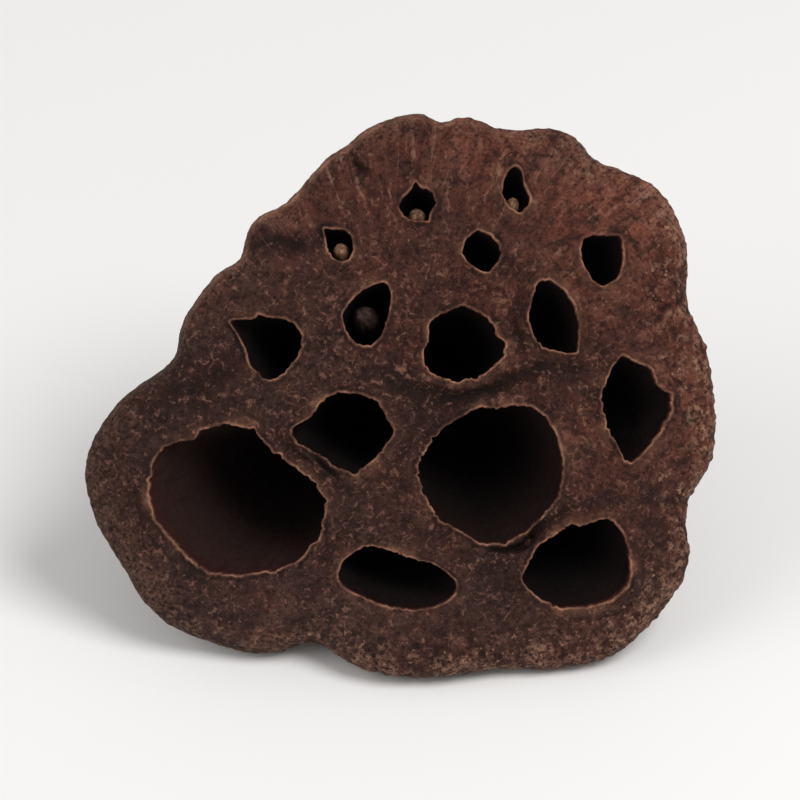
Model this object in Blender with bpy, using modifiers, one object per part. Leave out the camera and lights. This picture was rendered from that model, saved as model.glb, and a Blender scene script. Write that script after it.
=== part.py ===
"""A dried lotus pod lying on its flank, in metres, +Z up.

The pod is one grown piece: a pleated funnel with a lobed rim, a flat face with fifteen open
seed cells, and the stub of its stalk behind. Four withered seeds are still in the smaller cells.
Shapes are worked out in the pod's own axes, x to the right of the face, y up the face and z out
of it, with the origin at the middle of the face. Lengths in the tables are millimetres. The pod
is then turned so that its rim and the stub's tip rest on z = 0.
"""

import math

import bmesh
import bpy
from mathutils import Matrix, Vector

MM = 0.001

# How the pod lies: its face looks up by this angle, and this point is the middle of the face.
FACE_LIFT = math.radians(37.0)
FACE_CENTRE = Vector((0.6, -9.6, 31.35)) * MM
FLOOR_CUTTER = (120.0, 120.0, 20.0)  # takes the small flat spots off at z = 0

# The rim's radius every 10 degrees anticlockwise from +x.
MEAN_RIM = 37.0
RIM_RADII = (
    39.3, 38.9, 38.1, 41.1, 42.0, 40.1, 40.0, 37.0, 37.4, 36.6, 34.7, 31.9,
    29.6, 30.1, 29.0, 29.2, 29.9, 30.0, 36.3, 40.9, 41.9, 41.3, 41.5, 39.4,
    36.8, 32.9, 33.9, 34.6, 34.9, 35.7, 38.8, 41.5, 41.9, 41.5, 38.1, 39.6,
)  # fmt: skip
# Small notches between its lobes: direction in degrees, depth, half width in degrees.
RIM_NOTCHES = (
    (138.0, 1.4, 5.0), (102.5, 0.6, 2.6), (82.5, 1.5, 3.0), (52.0, 0.8, 4.0), (248.0, 0.7, 5.0)
)  # fmt: skip
# How far the rim droops behind the face, every 30 degrees.
RIM_DROOP = (0.5, -0.4, 0.5, 0.0, 1.0, 0.3, -0.4, 1.0, 3.4, -1.0, 1.2, 1.2)

# The turned outline before the lobes and pleats: face, rounded shoulder, funnel, stub.
FACE_DOME = 1.3
FACE_SWELL = 0.35  # height of the soft swells on the face
FACE_RINGS = (0.0, 0.26, 0.5, 0.7, 0.84)  # shares of the mean rim
SHOULDER = ((34.3, -1.6), (36.1, -3.0), (37.0, -5.1), (36.3, -7.6))
STUB_BASE = (4.6, -35.0)
FUNNEL_RINGS = 9
FUNNEL_HOLLOW = 1.6  # how far the funnel's side is drawn in, midway
STUB_COLLAR = ((5.3, -35.7), (4.4, -36.8))
STUB_RINGS = ((4.7, -39.2), (4.2, -41.4), (4.5, -43.3), (4.0, -45.4), (2.8, -46.9), (0.0, -47.6))
STUB_BEND = 1.6  # how far its tip leans down the face
TURN_STEPS = 112
PLEATS = 22
PLEAT_HEIGHT = 1.5
PLEAT_WANDER = ((3.0, 0.11, 0.5), (7.0, 0.05, 2.0))  # waves round the turn, size, offset
PLEAT_ROUNDNESS = 0.8  # a lower power gives fuller folds with sharper valleys
PLEAT_VALLEY = 0.6  # share of the height that lies under the turned outline

# Each cell: centre x and y on the face, depth, then the mouth's radius every 30 degrees
# anticlockwise from +x.
CELLS = {
    "top_middle": (1.6, 25.1, 9.0, (2.3, 2.3, 2.0, 2.6, 2.0, 2.2, 2.4, 2.1, 2.0, 2.0, 2.2, 2.0)),
    "top_right": (14.0, 26.5, 9.0, (1.5, 1.4, 1.5, 3.3, 2.0, 1.8, 1.7, 1.6, 1.7, 2.0, 1.8, 1.6)),
    "top_left": (-8.2, 20.1, 9.0, (1.6, 1.7, 2.0, 1.8, 2.3, 2.3, 1.8, 1.7, 1.9, 2.1, 1.9, 1.7)),
    "upper_middle": (9.6, 19.3, 12.0, (2.3, 2.2, 2.1, 2.4, 2.5, 2.3, 2.3, 2.3, 2.0, 2.1, 2.5, 2.2)),
    "upper_right": (24.9, 18.4, 12.0, (2.6, 2.9, 3.2, 3.0, 3.1, 2.7, 2.5, 2.5, 2.8, 3.2, 3.0, 2.8)),
    "upper_left": (-4.7, 11.4, 13.0, (2.8, 3.4, 4.4, 3.1, 2.9, 3.0, 3.2, 3.2, 3.7, 3.7, 3.5, 2.8)),
    "left": (-16.5, 7.0, 15.0, (3.4, 3.6, 4.1, 3.8, 4.2, 5.4, 3.6, 3.4, 3.6, 3.6, 3.8, 3.7)),
    "centre": (7.4, 7.5, 16.0, (5.1, 4.3, 4.6, 4.6, 4.4, 4.9, 4.8, 5.4, 5.1, 4.8, 4.8, 4.7)),
    "right_of_centre": (18.8, 10.9, 15.0, (2.6, 2.8, 3.3, 4.4, 3.9, 3.3, 3.2, 3.1, 3.8, 4.1, 4.8, 3.4)),
    "right": (29.2, -0.8, 15.0, (4.3, 4.7, 4.3, 5.5, 5.7, 4.9, 4.2, 4.2, 4.9, 6.3, 4.6, 4.4)),
    "left_of_centre": (-7.5, -3.6, 17.0, (6.1, 5.6, 5.4, 4.8, 4.8, 4.8, 6.5, 4.9, 4.3, 5.0, 4.9, 4.9)),
    "great_left": (-21.2, -12.2, 21.0, (11.0, 8.4, 7.6, 9.1, 9.8, 11.7, 10.3, 9.4, 9.8, 9.1, 9.8, 10.5)),
    "great_middle": (10.9, -8.9, 21.0, (9.0, 9.2, 9.4, 8.2, 8.0, 8.3, 8.9, 9.0, 8.0, 8.5, 8.4, 8.0)),
    "bottom_right": (21.7, -20.1, 18.0, (6.6, 7.0, 6.1, 4.7, 4.4, 5.0, 5.8, 7.2, 5.7, 5.5, 5.9, 6.9)),
    "bottom_middle": (-0.9, -22.0, 15.0, (7.1, 4.3, 3.2, 3.2, 4.4, 6.4, 7.3, 5.4, 4.0, 3.5, 4.4, 6.9)),
}
CELL_APEX = 45.0  # depth at which the cells would all meet, under the stub
CELL_BOWL = 2.6  # power of the bowl that closes each cell; higher is squarer
SMALL_CELL_BELLY = 0.22  # how much wider than its mouth a small cell is, under the face
CELL_BELLY = 0.02
CELL_HEADROOM = 3.0  # how far a cutter stands out of the face
SMALL_MOUTH = 3.5  # a mouth with a mean radius under this is cut with fewer sides
LIP_WIDTH = 1.1  # of the collar round a mouth, where it is rooted in the face
LIP_EDGE = 0.45  # its width at the top
LIP_HEIGHT = 0.5
LIP_ROOT = 2.0

# The withered seeds: the cell that holds each, the direction of the wall it lies on in degrees
# anticlockwise from +x, the depth of its middle, its radius and half its length.
SEEDS = {
    "seed_top_middle": ("top_middle", -85.0, 1.9, 1.3, 1.65),
    "seed_top_right": ("top_right", -55.0, 1.8, 1.0, 1.5),
    "seed_top_left": ("top_left", -150.0, 2.0, 1.15, 1.7),
    "seed_upper_left": ("upper_left", 160.0, 5.5, 1.85, 3.1),
}
SEED_TAPER = 0.18  # how much narrower it is at its tip than at its middle
SEED_CLEARANCE = 0.5

POD_BROWN = (0.060, 0.027, 0.020, 1.0)
SEED_TAN = (0.160, 0.090, 0.050, 1.0)


def smooth(low, high, value):
    """0 below low, 1 above high and a smooth step between them."""
    share = min(1.0, max(0.0, (value - low) / (high - low)))
    return share * share * (3.0 - 2.0 * share)


def around(values, angle):
    """A smooth closed curve through values that are evenly spaced round the turn."""
    count = len(values)
    place = (angle / math.tau) % 1.0 * count
    first = int(place)
    share = place - first
    before, start, end, after = (values[(first + step) % count] for step in (-1, 0, 1, 2))
    bend = 2.0 * before - 5.0 * start + 4.0 * end - after
    twist = 3.0 * (start - end) + after - before
    return start + 0.5 * share * ((end - before) + share * (bend + share * twist))


def rim_radius(angle):
    """The rim's radius in that direction, with its sharp notches."""
    radius = around(RIM_RADII, angle)
    for place, depth, width in RIM_NOTCHES:
        off = (math.degrees(angle) - place + 180.0) % 360.0 - 180.0
        radius -= depth * math.exp(-((off / width) ** 2))
    return radius


def lobed(radius, angle):
    """The turned radius drawn out to the lobes of the rim, which fade out towards the axis."""
    share = (radius / MEAN_RIM) ** 2
    return radius * (1.0 + share * (rim_radius(angle) / MEAN_RIM - 1.0))


def turned(radius, angle):
    """The turned radius whose lobed radius is this one."""
    found = radius
    for _ in range(6):
        found = radius * found / max(lobed(found, angle), 1e-6)
    return found


def face_height(x, y):
    """How far the face stands out at x, y: a low dome with soft swells and a drooping edge."""
    angle = math.atan2(y, x)
    share = turned(math.hypot(x, y), angle) / MEAN_RIM
    swell = FACE_SWELL * math.sin(0.21 * x + 0.6) * math.cos(0.19 * y - 0.4)
    return swell * (1.0 - share**4) - FACE_DOME * share**4 - around(RIM_DROOP, angle) * share**6


def pleat(angle, height):
    """How far the pleats stand out: rounded folds of uneven width with sharp valleys."""
    wandering = angle
    for waves, size, offset in PLEAT_WANDER:
        wandering += size * math.sin(waves * angle + offset)
    fold = abs(math.sin(0.5 * PLEATS * wandering)) ** PLEAT_ROUNDNESS
    up_funnel = smooth(STUB_BASE[1] - 0.5, STUB_BASE[1] + 12.0, height)
    below_shoulder = 0.35 * smooth(-1.4, -5.0, height) + 0.65 * smooth(-6.0, -12.0, height)
    return PLEAT_HEIGHT * (fold - PLEAT_VALLEY) * up_funnel * below_shoulder


def body_point(radius, angle, height):
    """Where a point of the turned outline lies on the real pod."""
    if height > SHOULDER[0][1] and radius <= SHOULDER[0][0]:
        wide = lobed(radius, angle)
        x, y = wide * math.cos(angle), wide * math.sin(angle)
        return Vector((x, y, face_height(x, y)))
    fold = pleat(angle, height)
    wide = lobed(radius, angle) + fold
    droop = around(RIM_DROOP, angle) * (radius / MEAN_RIM) ** 2
    if height >= STUB_BASE[1]:
        return Vector((wide * math.cos(angle), wide * math.sin(angle), height - droop - 0.6 * fold))
    wide = radius * (1.0 + 0.06 * math.sin(3.0 * angle + 0.8 * height))
    down_stub = (STUB_BASE[1] - height) / (STUB_BASE[1] - STUB_RINGS[-1][1])
    return Vector((wide * math.cos(angle), wide * math.sin(angle) - STUB_BEND * down_stub**1.5, height))


def turned_outline():
    """The turned outline as radius and height, from the middle of the face round to the stub's tip."""
    face = [(share * MEAN_RIM, -FACE_DOME * share**4) for share in FACE_RINGS]
    start, end = SHOULDER[-1], STUB_BASE
    funnel = []
    for ring in range(1, FUNNEL_RINGS + 1):
        share = ring / FUNNEL_RINGS
        hollow = FUNNEL_HOLLOW * math.sin(math.pi * share**1.3)
        radius = start[0] + (end[0] - start[0]) * share - hollow
        funnel.append((radius, start[1] + (end[1] - start[1]) * share))
    return [*face, *SHOULDER, *funnel, *STUB_COLLAR, *STUB_RINGS]


def new_object(name, mesh, collection):
    made = bpy.data.objects.new(name, mesh)
    collection.objects.link(made)
    return made


def new_collection(name):
    made = bpy.data.collections.new(name)
    bpy.context.scene.collection.children.link(made)
    return made


def as_helper(obj):
    obj.hide_render = True
    obj.display_type = "WIRE"
    return obj


def evaluated_mesh(obj, name):
    """A new mesh that holds the object with its modifiers applied."""
    graph = bpy.context.evaluated_depsgraph_get()
    mesh = bpy.data.meshes.new_from_object(obj.evaluated_get(graph))
    mesh.name = name
    return mesh


def turned_body(collection):
    """The pod without its cells: the outline spun by a Screw modifier, then drawn out to lobes and pleats."""
    outline = [Vector((radius, 0.0, height)) * MM for radius, height in turned_outline()]
    profile_mesh = bpy.data.meshes.new("pod_outline")
    profile_mesh.from_pydata(outline, [(n, n + 1) for n in range(len(outline) - 1)], [])
    profile = new_object("pod_outline", profile_mesh, collection)
    screw = profile.modifiers.new("turn", "SCREW")
    screw.steps = screw.render_steps = TURN_STEPS
    screw.use_merge_vertices = True
    screw.merge_threshold = 0.00001
    mesh = evaluated_mesh(profile, "pod")
    bpy.data.objects.remove(profile)
    for vertex in mesh.vertices:
        radius = math.hypot(vertex.co.x, vertex.co.y) / MM
        angle = math.atan2(vertex.co.y, vertex.co.x)
        vertex.co = body_point(radius, angle, vertex.co.z / MM) * MM
    return new_object("pod", mesh, collection)


def mouth_point(cell, angle, spread=0.0):
    """x and y of the cell's mouth in that direction, moved outwards by spread."""
    x, y, _, radii = CELLS[cell]
    radius = around(radii, angle) + spread
    return x + radius * math.cos(angle), y + radius * math.sin(angle)


def is_small(cell):
    radii = CELLS[cell][3]
    return sum(radii) / len(radii) < SMALL_MOUTH


def cell_sides(cell):
    return 14 if is_small(cell) else 24


def cell_section(cell, angle, depth_share):
    """A point on the cell's wall, at that share of its depth.

    The walls lean towards the stub and close in a bowl.
    """
    centre_x, centre_y, depth, _ = CELLS[cell]
    x, y = mouth_point(cell, angle)
    belly = SMALL_CELL_BELLY if is_small(cell) else CELL_BELLY
    bellied = 1.0 + belly * math.sin(math.pi * min(1.0, 1.5 * depth_share))
    bowl = bellied * math.sqrt(max(0.0, 1.0 - depth_share**CELL_BOWL))
    lean = 1.0 - depth_share * depth / CELL_APEX
    section_x = (centre_x + (x - centre_x) * bowl) * lean
    section_y = (centre_y + (y - centre_y) * bowl) * lean
    height = face_height(x, y) * (1.0 - depth_share) - depth * depth_share
    return Vector((section_x, section_y, height))


def cell_cutter(cell, collection):
    """A sphere drawn out to the cell: its upper half stands out of the mouth."""
    bm = bmesh.new()
    bmesh.ops.create_uvsphere(bm, u_segments=cell_sides(cell), v_segments=12, radius=1.0)
    for vertex in bm.verts:
        angle = math.atan2(vertex.co.y, vertex.co.x)
        if vertex.co.z > 0.01:
            x, y = mouth_point(cell, angle)
            centre_x, centre_y = CELLS[cell][:2]
            pole = math.hypot(vertex.co.x, vertex.co.y) < 0.01
            top = (centre_x, centre_y) if pole else (x, y)
            vertex.co = Vector((*top, face_height(x, y) + CELL_HEADROOM * vertex.co.z)) * MM
        else:
            vertex.co = cell_section(cell, angle, min(1.0, abs(vertex.co.z))) * MM
    mesh = bpy.data.meshes.new("cell_" + cell)
    bm.to_mesh(mesh)
    bm.free()
    return as_helper(new_object("cell_" + cell, mesh, collection))


def cell_lip(cell, collection):
    """The low collar round a mouth: a frustum drawn out to its outline, rooted in the face."""
    bm = bmesh.new()
    bmesh.ops.create_cone(
        bm, cap_ends=True, segments=cell_sides(cell), radius1=1.0, radius2=1.0, depth=2.0
    )
    for vertex in bm.verts:
        on_top = vertex.co.z > 0.0
        angle = math.atan2(vertex.co.y, vertex.co.x)
        x, y = mouth_point(cell, angle, LIP_EDGE if on_top else LIP_WIDTH)
        vertex.co = Vector((x, y, face_height(x, y) + (LIP_HEIGHT if on_top else -LIP_ROOT))) * MM
    mesh = bpy.data.meshes.new("lip_" + cell)
    bm.to_mesh(mesh)
    bm.free()
    return as_helper(new_object("lip_" + cell, mesh, collection))


def boolean(obj, name, operation, cutters):
    modifier = obj.modifiers.new(name, "BOOLEAN")
    modifier.operation = operation
    modifier.solver = "EXACT"
    if isinstance(cutters, bpy.types.Collection):
        modifier.operand_type = "COLLECTION"
        modifier.collection = cutters
    else:
        modifier.object = cutters
    return modifier


def pod_placing():
    """Turns the pod's own axes to how it lies and moves the middle of the face to its place."""
    return Matrix.Translation(FACE_CENTRE) @ Matrix.Rotation(math.pi / 2 - FACE_LIFT, 4, "X")


def floor_cutter(collection):
    bm = bmesh.new()
    bmesh.ops.create_cube(bm, size=1.0)
    width, length, depth = FLOOR_CUTTER
    for vertex in bm.verts:
        below = (vertex.co.z - 0.5) * depth
        vertex.co = Vector((vertex.co.x * width, vertex.co.y * length, below)) * MM
    mesh = bpy.data.meshes.new("floor_cutter")
    bm.to_mesh(mesh)
    bm.free()
    return as_helper(new_object("floor_cutter", mesh, collection))


def seed(name, collection, placing):
    """A withered seed, narrower at its tip, lying along one wall of its cell."""
    cell, wall_direction, middle, radius, half_length = SEEDS[name]
    direction = math.radians(wall_direction)
    depth_share = middle / CELLS[cell][2]
    wall_point = cell_section(cell, direction, depth_share)
    wall_above = cell_section(cell, direction, depth_share * 0.6)
    along = (wall_above - wall_point).normalized()
    outwards = Vector((math.cos(direction), math.sin(direction), 0.0))
    inwards = -(outwards - outwards.dot(along) * along).normalized()
    centre = wall_point + inwards * (radius + SEED_CLEARANCE)
    turn = along.to_track_quat("Z", "Y").to_matrix().to_4x4()
    bm = bmesh.new()
    bmesh.ops.create_uvsphere(bm, u_segments=14, v_segments=10, radius=1.0)
    for vertex in bm.verts:
        wide = radius * (1.0 - SEED_TAPER * vertex.co.z)
        local = Vector((vertex.co.x * wide, vertex.co.y * wide, vertex.co.z * half_length))
        vertex.co = (centre + turn @ local) * MM
    mesh = bpy.data.meshes.new(name)
    bm.to_mesh(mesh)
    bm.free()
    mesh.shade_smooth()
    made = new_object(name, mesh, collection)
    made.matrix_world = placing
    return made


def material(name, colour, roughness):
    made = bpy.data.materials.new(name)
    made.use_nodes = True
    shader = made.node_tree.nodes["Principled BSDF"]
    shader.inputs["Base Color"].default_value = colour
    shader.inputs["Roughness"].default_value = roughness
    shader.inputs["Metallic"].default_value = 0.0
    return made


def pod(parts, cutters, placing):
    """The whole pod: the body with its lips, less its cells and what would be under the floor."""
    body = turned_body(parts)
    lips = new_collection("lips")
    cells = new_collection("cells")
    for cell in CELLS:
        cell_lip(cell, lips)
        cell_cutter(cell, cells)
    boolean(body, "lips", "UNION", lips)
    joined = evaluated_mesh(body, "pod_with_lips")
    body.modifiers.clear()
    body.data = joined
    for lip in list(lips.objects):
        bpy.data.objects.remove(lip)
    bpy.data.collections.remove(lips)
    for obj in [body, *cells.objects]:
        obj.matrix_world = placing
    boolean(body, "cells", "DIFFERENCE", cells)
    boolean(body, "flat_spots", "DIFFERENCE", floor_cutter(cutters))
    body.data.shade_smooth()
    body.data.set_sharp_from_angle(angle=math.radians(40))
    return body


def main():
    for obj in list(bpy.data.objects):
        bpy.data.objects.remove(obj)
    parts = new_collection("dried_lotus_pod")
    cutters = new_collection("cutters")
    placing = pod_placing()
    pod_brown = material("pod_brown", POD_BROWN, 0.8)
    seed_tan = material("seed_tan", SEED_TAN, 0.7)
    pod(parts, cutters, placing).data.materials.append(pod_brown)
    for name in SEEDS:
        seed(name, parts, placing).data.materials.append(seed_tan)


main()
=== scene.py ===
import math
import bpy
import numpy as np
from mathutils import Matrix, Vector


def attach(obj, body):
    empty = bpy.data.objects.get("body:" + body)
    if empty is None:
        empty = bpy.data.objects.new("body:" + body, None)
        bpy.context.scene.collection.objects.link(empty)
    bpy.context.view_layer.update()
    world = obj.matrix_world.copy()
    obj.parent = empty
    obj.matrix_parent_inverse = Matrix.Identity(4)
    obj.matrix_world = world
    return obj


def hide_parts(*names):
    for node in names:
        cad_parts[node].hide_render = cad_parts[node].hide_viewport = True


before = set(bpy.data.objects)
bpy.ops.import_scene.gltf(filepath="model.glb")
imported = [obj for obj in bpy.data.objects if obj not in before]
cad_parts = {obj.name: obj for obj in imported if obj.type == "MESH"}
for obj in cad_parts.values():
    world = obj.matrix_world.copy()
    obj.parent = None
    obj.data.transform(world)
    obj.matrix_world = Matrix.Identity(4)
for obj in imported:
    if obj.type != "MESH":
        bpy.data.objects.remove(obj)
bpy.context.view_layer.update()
scene = bpy.context.scene
bpy.ops.object.select_all(action="DESELECT")

# The pod's own axes: x to the right of its face, y up the face, z out of it, in millimetres.
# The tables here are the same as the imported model's, so that every piece lies where its solid does.
podPlace = {
    "faceLift": math.radians(37.0),  # the face looks up by this angle
    "faceCentre": (0.6, -9.6, 31.35),  # where the middle of the face is in the model
    "floorSkim": 0.03,  # nothing comes closer to the floor than this
}
podRim = {
    "meanRadius": 37.0,
    "radii": (  # every 10 degrees anticlockwise from +x
        39.3, 38.9, 38.1, 41.1, 42.0, 40.1, 40.0, 37.0, 37.4, 36.6, 34.7, 31.9,
        29.6, 30.1, 29.0, 29.2, 29.9, 30.0, 36.3, 40.9, 41.9, 41.3, 41.5, 39.4,
        36.8, 32.9, 33.9, 34.6, 34.9, 35.7, 38.8, 41.5, 41.9, 41.5, 38.1, 39.6,
    ),
    "droop": (0.5, -0.4, 0.5, 0.0, 1.0, 0.3, -0.4, 1.0, 3.4, -1.0, 1.2, 1.2),  # every 30 degrees
    "notches": (  # direction in degrees, depth, half width in degrees
        (138.0, 1.4, 5.0), (102.5, 0.6, 2.6), (82.5, 1.5, 3.0), (52.0, 0.8, 4.0), (248.0, 0.7, 5.0),
    ),
    "faceDome": 1.3,
}
# Each cell: centre on the face, depth, and the outline of its mouth, anticlockwise, as points on the face.
podCells = {
    "topMiddle": (1.6, 25.1, 9.0, (
        (3.9, 25.4), (3.5, 26.8), (1.9, 27.3), (1.3, 28.5), (1.0, 27.3), (-0.2, 26.1), (-0.9, 24.9),
        (-0.1, 23.7), (1.3, 23.1), (2.9, 23.2), (3.3, 24.3))),
    "topRight": (14.0, 26.5, 9.0, (
        (14.9, 29.3), (15.0, 27.7), (15.8, 26.1), (15.6, 24.9), (14.5, 24.2), (13.1, 24.9), (12.2, 26.6),
        (12.5, 28.2), (13.2, 29.7), (14.1, 30.2))),
    "topLeft": (-8.2, 20.1, 9.0, (
        (-6.5, 20.3), (-6.8, 21.3), (-7.6, 22.0), (-9.2, 22.0), (-10.4, 22.3), (-10.0, 21.1), (-9.8, 19.7),
        (-9.1, 18.4), (-8.0, 17.9), (-7.0, 18.2), (-6.5, 19.3))),
    "upperMiddle": (9.6, 19.3, 12.0, (
        (12.1, 18.8), (12.0, 20.0), (10.8, 21.3), (9.2, 22.0), (7.7, 20.8), (7.2, 19.1), (8.0, 17.8),
        (9.6, 16.8), (10.7, 16.8), (11.9, 18.1))),
    "upperRight": (24.9, 18.4, 12.0, (
        (27.5, 18.0), (27.5, 20.6), (27.0, 21.4), (25.2, 21.2), (23.7, 21.4), (22.5, 20.8), (22.2, 19.4),
        (22.5, 17.7), (23.7, 15.6), (25.1, 14.8), (26.8, 15.9), (27.4, 17.0))),
    "upperLeft": (-4.7, 11.4, 13.0, (
        (-2.0, 11.6), (-1.7, 13.0), (-1.8, 14.6), (-2.5, 15.5), (-4.1, 15.0), (-5.5, 14.3), (-7.0, 12.7),
        (-7.9, 11.3), (-7.6, 9.7), (-6.7, 8.2), (-5.3, 7.5), (-3.9, 7.7), (-2.8, 8.7), (-2.3, 10.4))),
    "left": (-16.5, 7.0, 15.0, (
        (-13.0, 7.1), (-13.0, 8.8), (-14.1, 10.1), (-15.4, 10.8), (-17.6, 10.9), (-18.4, 11.3),
        (-19.5, 10.6), (-20.8, 10.7), (-22.2, 10.3), (-21.0, 8.8), (-20.1, 7.0), (-19.5, 4.9), (-17.9, 3.1),
        (-16.8, 3.0), (-15.1, 4.0), (-13.6, 5.8))),
    "centre": (7.4, 7.5, 16.0, (
        (12.8, 7.7), (11.3, 8.7), (11.4, 9.7), (10.0, 11.2), (7.1, 12.5), (4.7, 11.4), (3.1, 10.3),
        (3.0, 8.8), (2.9, 7.8), (2.3, 6.6), (2.4, 5.2), (3.1, 4.1), (4.7, 3.2), (7.5, 3.0), (10.0, 3.8),
        (12.2, 5.7))),
    "rightOfCentre": (18.8, 10.9, 15.0, (
        (22.0, 10.2), (21.3, 12.5), (20.1, 14.4), (18.3, 15.7), (17.0, 15.1), (16.1, 13.4), (15.6, 10.8),
        (16.4, 8.4), (17.9, 7.0), (20.9, 6.3), (21.8, 6.5), (22.0, 8.5))),
    "right": (29.2, -0.8, 15.0, (
        (33.5, -1.4), (33.7, 1.0), (32.7, 1.7), (31.9, 2.5), (31.1, 4.6), (29.0, 5.3), (27.4, 6.3),
        (26.2, 4.6), (25.6, 3.2), (24.9, 1.5), (25.0, -1.0), (26.0, -3.8), (27.4, -6.3), (28.5, -7.6),
        (29.9, -6.5), (31.9, -4.0))),
    "leftOfCentre": (-7.5, -3.6, 17.0, (
        (-1.2, -3.7), (-2.3, -1.8), (-3.3, 0.2), (-5.2, 1.2), (-8.4, 1.4), (-9.8, 0.8), (-10.9, -0.2),
        (-11.9, -1.8), (-14.1, -2.9), (-14.3, -4.0), (-12.7, -5.4), (-10.1, -6.9), (-7.6, -8.3),
        (-6.4, -8.9), (-4.1, -7.2), (-2.2, -5.0))),
    "greatLeft": (-21.2, -12.2, 21.0, (
        (-10.0, -11.9), (-11.4, -10.0), (-13.9, -8.0), (-16.6, -6.2), (-19.0, -3.4), (-21.4, -2.8),
        (-23.8, -2.8), (-25.9, -3.4), (-26.6, -4.6), (-28.4, -4.6), (-30.6, -5.5), (-31.9, -7.5),
        (-32.3, -11.5), (-31.5, -14.7), (-29.4, -17.1), (-27.5, -19.3), (-24.9, -21.3), (-21.1, -21.7),
        (-18.2, -21.2), (-15.7, -20.7), (-13.8, -20.2), (-11.1, -16.9), (-10.1, -14.2))),
    "greatMiddle": (10.9, -8.9, 21.0, (
        (19.9, -9.4), (20.0, -7.4), (19.3, -4.3), (17.9, -1.7), (15.9, -0.4), (13.9, -0.2), (11.7, -0.7),
        (9.7, -0.4), (8.0, -1.0), (6.1, -2.2), (4.4, -3.3), (3.0, -5.4), (1.7, -7.7), (1.9, -9.7),
        (2.9, -12.2), (4.4, -14.7), (6.6, -15.8), (8.9, -17.2), (10.4, -17.8), (12.8, -17.5), (15.6, -16.0),
        (17.9, -13.6), (19.4, -11.8))),
    "bottomRight": (21.7, -20.1, 18.0, (
        (28.4, -19.7), (28.1, -17.5), (27.1, -15.8), (26.0, -14.5), (24.6, -14.6), (22.1, -15.5),
        (21.1, -15.1), (19.0, -16.5), (17.0, -17.8), (15.9, -19.5), (14.7, -22.0), (15.6, -23.4),
        (17.3, -24.8), (19.8, -25.8), (22.9, -25.7), (26.0, -24.9), (28.0, -23.4), (28.6, -21.6))),
    "bottomMiddle": (-0.9, -22.0, 15.0, (
        (6.6, -22.6), (5.0, -21.1), (3.3, -20.1), (0.8, -19.5), (-1.2, -18.7), (-3.9, -17.9), (-6.3, -18.6),
        (-7.8, -19.8), (-8.4, -21.2), (-7.9, -23.1), (-6.3, -23.9), (-3.9, -25.1), (-2.2, -25.6),
        (1.3, -26.1), (3.3, -25.7), (5.3, -25.0), (6.4, -23.8))),
}
cellBrightness = {"greatLeft": 0.75, "greatMiddle": 0.42}  # of the walls inside, which darkens them as painted shade; the others have otherCells
otherCells = 0.22
cornerRounding = 0.22  # millimetres, along the outline of a mouth
depthRounding = 1.6  # the same, for the cell further down
tableSteps = 720  # directions in which the radius of a mouth is worked out
cellApex = 45.0  # the depth at which all the cells would meet


# Small mathematical helpers, all on numpy arrays.

def columns(*parts):
    # x, y and z side by side, a row for each point
    return np.stack(parts, axis=1)


def polar(points):
    # how far from the axis, which way round it and how high
    return np.hypot(points[:, 0], points[:, 1]), np.arctan2(points[:, 1], points[:, 0]), points[:, 2]


def ringPoints(angle, radius, height):
    return columns(np.cos(angle) * radius, np.sin(angle) * radius, height + 0.0 * angle)


def smoothStep(low, high, value):
    share = np.clip((value - low) / (high - low), 0.0, 1.0)
    return share * share * (3.0 - 2.0 * share)


def bump(value, width):
    return np.exp(-((value / width) ** 2))


def around(values, angle):
    # a smooth closed curve through values that are evenly spaced round the turn
    values = np.asarray(values, float)
    place = (angle / math.tau) % 1.0 * len(values)
    first = np.floor(place).astype(int)
    share = place - first
    before, start, end, after = (values[(first + step) % len(values)] for step in (-1, 0, 1, 2))
    bend = 2.0 * before - 5.0 * start + 4.0 * end - after
    twist = 3.0 * (start - end) + after - before
    return start + 0.5 * share * ((end - before) + share * (bend + share * twist))


def offAngle(angle, degrees):
    return (np.degrees(angle) - degrees + 180.0) % 360.0 - 180.0


def latticeValue(ix, iy, iz, seed):
    # one random number from -1 to 1 for each whole-numbered place
    mixed = (ix * 374761393 + iy * 668265263 + iz * 1274126177 + seed * 974634777) & 0xFFFFFFFF
    mixed = ((mixed ^ (mixed >> 13)) * 1103515245) & 0xFFFFFFFF
    mixed = ((mixed ^ (mixed >> 16)) * 668265263) & 0xFFFFFFFF
    return ((mixed ^ (mixed >> 15)) & 0xFFFF) / 32767.5 - 1.0


def softNoise(points, seed):
    # smooth noise from -1 to 1, one swell for each unit of length
    cell = np.floor(points).astype(np.int64)
    share = points - cell
    share = share * share * share * (share * (share * 6.0 - 15.0) + 10.0)
    total = 0.0
    for corner in np.ndindex(2, 2, 2):
        weight = np.where(corner, share, 1.0 - share).prod(axis=1)
        total = total + weight * latticeValue(*(cell + corner).T, seed)
    return total


def layeredNoise(points, size, layers, seed):
    # several sizes of soft noise on top of each other, the largest about size across
    total, weight, whole = 0.0, 1.0, 0.0
    for layer in range(layers):
        total = total + weight * softNoise(points / size + 17.3 * layer, seed + layer)
        whole += weight
        weight *= 0.55
        size *= 0.5
    return total / whole


def grainNoise(points, size, seed):
    # distance to the nearest grain, and a random number that belongs to that grain
    scaled = points / size
    cell = np.floor(scaled).astype(np.int64)
    near, token = np.full(len(points), 9.0), np.zeros(len(points))
    for step in np.ndindex(3, 3, 3):
        at = cell + step - 1
        jitter = [latticeValue(*at.T, seed + n) * 0.42 + 0.5 for n in range(3)]
        gap = np.sqrt(sum((at[:, n] + jitter[n] - scaled[:, n]) ** 2 for n in range(3)))
        closer = gap < near
        token = np.where(closer, latticeValue(*at.T, seed + 7), token)
        near = np.where(closer, gap, near)
    return near, token


# The pod's shape as formulas.

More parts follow.
